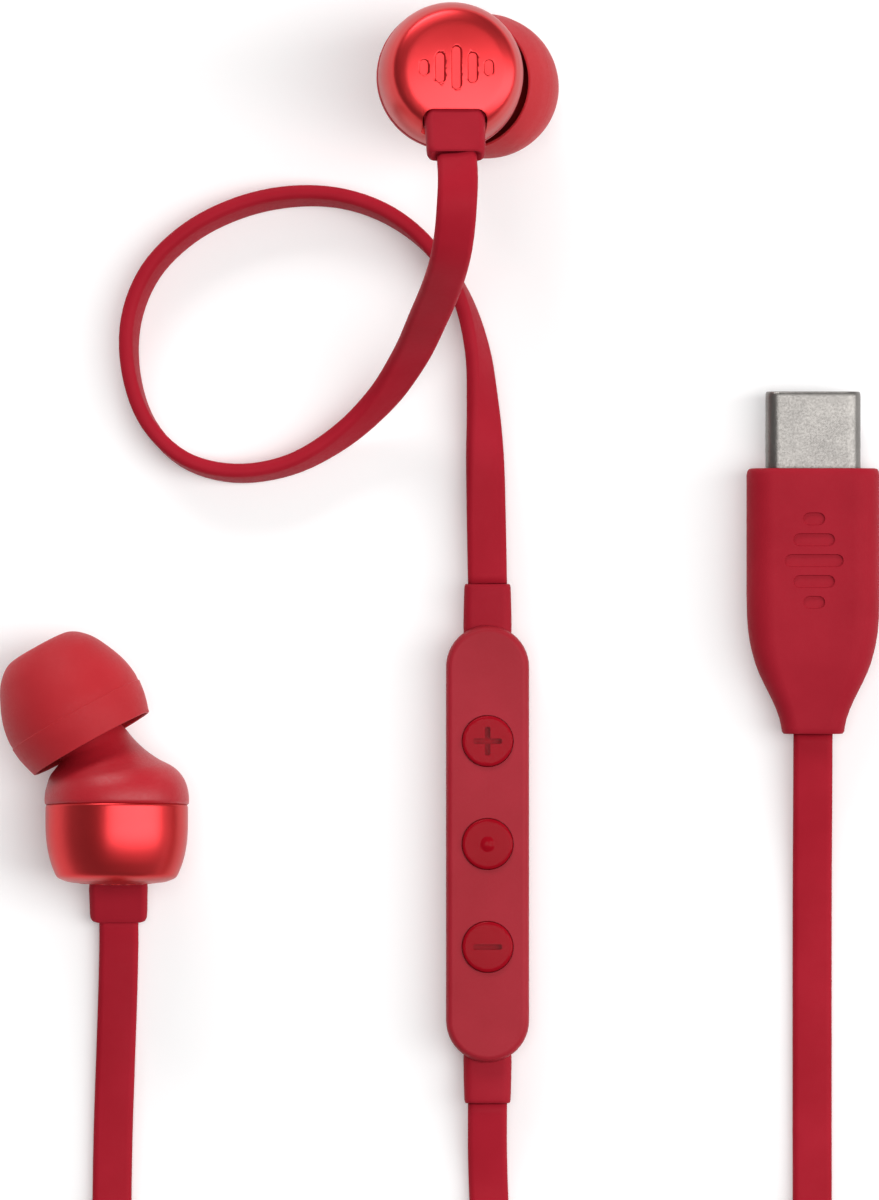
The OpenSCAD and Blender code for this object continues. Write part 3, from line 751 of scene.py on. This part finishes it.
def make_remote_relief(name, end):
    """Rubber sleeve at one end of the remote, end 1 at the top and -1 at the bottom."""
    rows = [(17.3, 4.1, 2.3), (18.9, 4.18, 2.4), (20.3, 4.14, 2.36), (21.7, 4.06, 2.26),
            (22.2, 4.02, 2.2), (22.42, 3.92, 2.08), (22.5, 3.75, 1.8), (22.46, 3.55, 1.5),
            (22.2, 3.45, 1.3)]
    rings = []
    for y, w, t in rows:
        outline = rounded(w, t, min(0.8, t * 0.36))
        rings.append([(x * end, y * end, REMOTE_SPLIT + z) for x, z in outline])
    verts, faces = skin(rings)
    obj = build(f"{name}_sleeve", verts, faces, RUBBER, smooth_deg=50)
    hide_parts(name)


make_covers()
for key, place_y in (("plus_button", BUTTON_PITCH), ("multi_button", 0),
                     ("minus_button", -BUTTON_PITCH)):
    make_button(key, place_y, key == "multi_button")
make_remote_relief("remote_top_relief", 1)
make_remote_relief("remote_bottom_relief", -1)

# ---------------------------------------------------------------- plug
PLUG_X = 28.2
GRIP_Z = 2.8
GRIP_H = 5.6
USB_W = 8.25
USB_H = 2.4
PLUG_MARK = {"half_w": 4.1, "half_h": 2.5, "bar_r": 0.5, "centre": (0, 0)}


def make_grip():
    """Moulded grip that tapers to its cord, with the mark and the bays for what it holds."""
    rows = [(32.5, 10.7, 4.9), (32.44, 11.1, 5.25), (32.25, 11.38, 5.48), (31.9, 11.5, 5.58),
            (31.2, 11.5, 5.6), (26, 11.5, 5.6), (21.5, 11.5, 5.6), (19.6, 11.42, 5.56),
            (18.4, 11.22, 5.46), (17.4, 10.92, 5.32), (16.5, 10.5, 5.14), (15.6, 10.0, 4.94),
            (14.8, 9.4, 4.72), (14.0, 8.65, 4.46), (13.2, 7.85, 4.2), (12.4, 7.05, 3.95),
            (11.6, 6.35, 3.74), (10.8, 5.8, 3.56), (10.1, 5.5, 3.46), (9.7, 5.38, 3.36),
            (9.52, 5.1, 3.1), (9.5, 4.7, 2.7), (9.56, 4.0, 1.9), (9.8, 3.5, 1.35)]
    rings = []
    for y, w, h in rows:
        outline = rounded(w, h, h * 0.42, arc=10)
        rings.append([(PLUG_X + x, y, GRIP_Z + z) for x, z in outline])
    verts, faces = skin(rings)
    obj = build("plug_body", verts, faces, RUBBER, smooth_deg=45)
    mark = Matrix.Translation((PLUG_X, 24.5, 0))
    cutters = wave_cutters(floor=GRIP_H - 0.2, place=mark, turned=True, **PLUG_MARK)
    socket = [[(PLUG_X + x, y, GRIP_Z + z) for x, z in rounded(8.3, 2.45, 1.22, arc=10)]
              for y in (31.0, 34)]
    bay = [[(PLUG_X + x, y, GRIP_Z + z) for x, z in rounded(9.4, 3.8, 0.8)] for y in (28.9, 31.9)]
    hollow = ((-4, -0.8), (4, -0.8), (4, 0.9), (-4, 0.9))
    well = [[(PLUG_X + x, y, GRIP_Z + z) for x, z in hollow] for y in (18.4, 29.0)]
    carve(obj, cutters + [skin(socket), skin(bay), skin(well)], edge=0.05, smooth_deg=45)
    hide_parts("plug_grip")
    return obj


def make_usb():
    """Drawn steel shell with a rolled mouth and a seam line along its underside."""
    rows = [(30.9, USB_W), (38.7, USB_W), (38.95, 8.21), (39.1, 8.1), (39.15, 7.95), (39.1, 7.8),
            (38.9, 7.68), (38.6, 7.65), (30.9, 7.65)]
    rings = []
    for y, w in rows:
        h = w - USB_W + USB_H
        outline = rounded(w, h, h / 2 - 0.001, arc=12)
        rings.append([(PLUG_X + x, y, GRIP_Z + z) for x, z in outline])
    rings.append(rings[0])
    verts, faces = skin(rings, caps=(False, False))
    obj = build("usb_sleeve", verts, faces, STEEL, smooth_deg=40)
    weld(obj)
    groove = [(PLUG_X + x, y) for x, y in ((-0.06, 32), (0.06, 32), (0.06, 40), (-0.06, 40))]
    carve(obj, [prism(groove, 1, 1.66)], smooth_deg=40)
    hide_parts("usb_shell")
    return obj


plug_body = make_grip()
usb_sleeve = make_usb()


# ---------------------------------------------------------------- splitter and tie
SPLITTER_Y = COIL_Y + 11.6
# The tie's path round the ring's section, from the coil's centre
TIE_NEAR, TIE_FAR, TIE_TOP, TIE_CORNER = -10.75, -26.25, 11.2, 1.6


def make_splitter():
    """Where the two bud cords join the trunk, with two grooves round it."""
    rows = [(-6, 2.6, 2.9), (-5.9, 3.0, 3.6), (-5.6, 3.3, 4.1), (-5.2, 3.4, 4.2), (-2.6, 3.4, 4.2),
            (-2.5, 3.2, 4.0), (-2.3, 3.2, 4.0), (-2.2, 3.4, 4.2), (2.2, 3.4, 4.2), (2.3, 3.2, 4.0),
            (2.5, 3.2, 4.0), (2.6, 3.4, 4.2), (5.2, 3.4, 4.2), (5.6, 3.3, 4.1), (5.9, 3.1, 3.8),
            (6, 2.9, 3.5)]
    rings = []
    for x, w, h in rows:
        outline = rounded(w, h, 0.8 if w > 3 else 0.7)
        rings.append([(COIL_X + x, SPLITTER_Y + a, LAYER_Z[0] + b) for a, b in outline])
    verts, faces = skin(rings)
    obj = build("splitter_body", verts, faces, RUBBER, smooth_deg=40)
    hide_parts("cord_splitter")
    return obj


def make_tie():
    """A flat strap round the ring's section, with soft corners and a fine groove at each edge."""
    line = [(y + (TIE_FAR + TIE_NEAR) / 2, z + TIE_TOP / 2)
            for y, z in rounded(TIE_NEAR - TIE_FAR, TIE_TOP, TIE_CORNER)]
    path = spline(line + line[:1], 0.5)[:-1]
    # Across the strap and inwards from its outer face
    section = ((-2.5, 0.06), (-2.44, 0.0), (-2.0, 0.0), (-1.9, 0.05), (-1.8, 0.0), (1.8, 0.0),
               (1.9, 0.05), (2.0, 0.0), (2.44, 0.0), (2.5, 0.06), (2.5, 0.29), (2.44, 0.35),
               (-2.44, 0.35), (-2.5, 0.29))
    rings = []
    for i, (y, z) in enumerate(path):
        ay, az = path[(i + 1) % len(path)]
        by, bz = path[i - 1]
        t = Vector((0, ay - by, az - bz)).normalized()
        inward = Vector((0, -t.z, t.y))
        here = Vector((COIL_X, COIL_Y + y, z))
        rings.append([tuple(here + Vector((x, 0, 0)) + inward * d) for x, d in section])
    rings.append(rings[0])
    verts, faces = skin(rings, caps=(False, False))
    obj = build("tie_strap", verts, faces, TIE, smooth_deg=50)
    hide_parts("coil_tie")
    return obj


splitter_body = make_splitter()
tie_strap = make_tie()
for node, material in KEPT_NODES.items():
    paint(node, material)


# ---------------------------------------------------------------- floor, light and camera
FLOOR_HALF = 0.9
FLOOR_WHITE = (0.9, 0.9, 0.9, 1)
CAMERA_AT = (-0.00416, 0.0211, 0.9)
SEEN_HEIGHT = 0.1043
SENSOR = 36


def make_floor():
    """A plain white floor that glows faintly, as a lit sweep does."""
    half = FLOOR_HALF
    mesh = bpy.data.meshes.new("floor")
    mesh.from_pydata([(-half, -half, 0), (half, -half, 0), (half, half, 0), (-half, half, 0)], [],
                     [(0, 1, 2, 3)])
    floor = bpy.data.objects.new("floor", mesh)
    bpy.context.scene.collection.objects.link(floor)
    material = bpy.data.materials.new("white_sweep")
    _, shader = nodes_of(material)
    shader.inputs["Base Color"].default_value = FLOOR_WHITE
    shader.inputs["Roughness"].default_value = 0.8
    shader.inputs["Emission Color"].default_value = (1, 1, 1, 1)
    shader.inputs["Emission Strength"].default_value = 0.12
    mesh.materials.append(material)


def softbox(name, place, target, size, power):
    """A rectangular studio light at place, turned towards target."""
    light = bpy.data.lights.new(name, "AREA")
    light.shape = "RECTANGLE"
    light.size, light.size_y = size
    light.energy = power
    obj = bpy.data.objects.new(name, light)
    bpy.context.scene.collection.objects.link(obj)
    obj.location = place
    obj.rotation_euler = (Vector(target) - Vector(place)).to_track_quat("-Z", "Y").to_euler()


def make_world(zenith, horizon):
    """A dim ceiling that brightens towards the horizon, as between white studio walls."""
    world = bpy.data.worlds.new("studio")
    bpy.context.scene.world = world
    world.use_nodes = True
    tree = world.node_tree
    coords = tree.nodes.new("ShaderNodeTexCoord")
    split = tree.nodes.new("ShaderNodeSeparateXYZ")
    ramp = tree.nodes.new("ShaderNodeValToRGB")
    ramp.color_ramp.elements[0].position = 0.05
    ramp.color_ramp.elements[0].color = (horizon, horizon, horizon, 1)
    ramp.color_ramp.elements[1].position = 0.75
    ramp.color_ramp.elements[1].color = (zenith, zenith, zenith, 1)
    tree.links.new(coords.outputs["Generated"], split.inputs["Vector"])
    tree.links.new(split.outputs["Z"], ramp.inputs["Fac"])
    tree.links.new(ramp.outputs["Color"], tree.nodes["Background"].inputs["Color"])


def make_camera():
    """Looks straight down; at the floor, its longer side takes in SEEN_HEIGHT."""
    data = bpy.data.cameras.new("camera")
    data.sensor_width = SENSOR
    data.lens = SENSOR * CAMERA_AT[2] / SEEN_HEIGHT
    camera = bpy.data.objects.new("camera", data)
    bpy.context.scene.collection.objects.link(camera)
    camera.location = CAMERA_AT
    bpy.context.scene.camera = camera


make_floor()
make_world(0.21, 0.36)
softbox("key", (0.29, 0.02, 0.50), (0, 0.02, 0), (0.29, 1.15), 4.4)
softbox("rim", (-0.14, 0.52, 0.27), (0, 0.06, 0.02), (0.36, 0.16), 1.5)
make_camera()
bpy.context.scene.view_settings.view_transform = "Standard"
